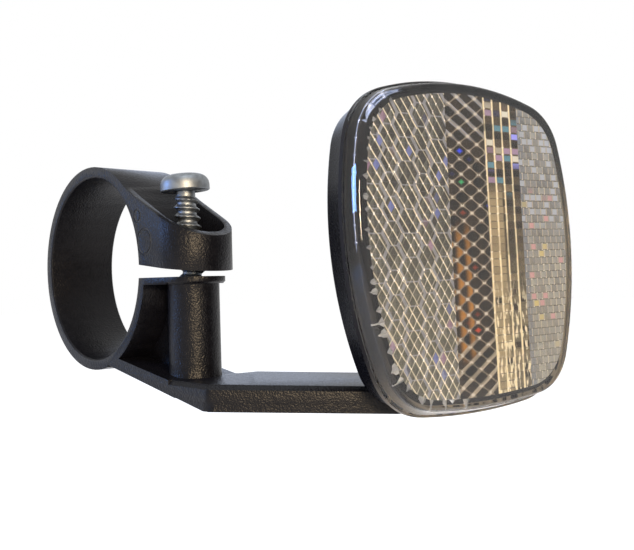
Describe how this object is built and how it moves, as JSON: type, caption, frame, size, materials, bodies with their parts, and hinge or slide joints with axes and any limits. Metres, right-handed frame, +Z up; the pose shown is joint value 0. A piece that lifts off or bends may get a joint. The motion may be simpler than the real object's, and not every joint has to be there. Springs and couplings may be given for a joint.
{
  "type": "bicycle front reflector",
  "caption": "Bicycle front reflector: clear prismatic lens on a black shell, carried by an offset arm on a split handlebar clamp with a screw.",
  "frame": {"origin": "centre of the clamp's bore, halfway along its width", "axes": "+X along the handlebar toward the reflector's far side, -Y forward, the way the reflector faces, +Z up along the screw post"},
  "size_m": [0.0534, 0.0812, 0.05],
  "materials": {
    "bracket_plastic": "fine moulded grain",
    "shell_plastic": "smooth moulded",
    "lens_clear": "clear moulded prisms",
    "screw_zinc": "bright zinc plated"
  },
  "bodies": {
    "holder": {"bracket": "bracket_plastic", "reflector_shell": "shell_plastic", "reflector_lens": "lens_clear", "fixing_screw": "screw_zinc"},
    "screw": {"clamp_screw": "screw_zinc"}
  },
  "joints": [
    {"name": "clamp_screw_drive", "type": "slide", "parent": "holder", "child": "screw", "axis": [0.044, -0.0398, -0.9982], "range_m": [-0.004, 0.01025]}
  ]
}
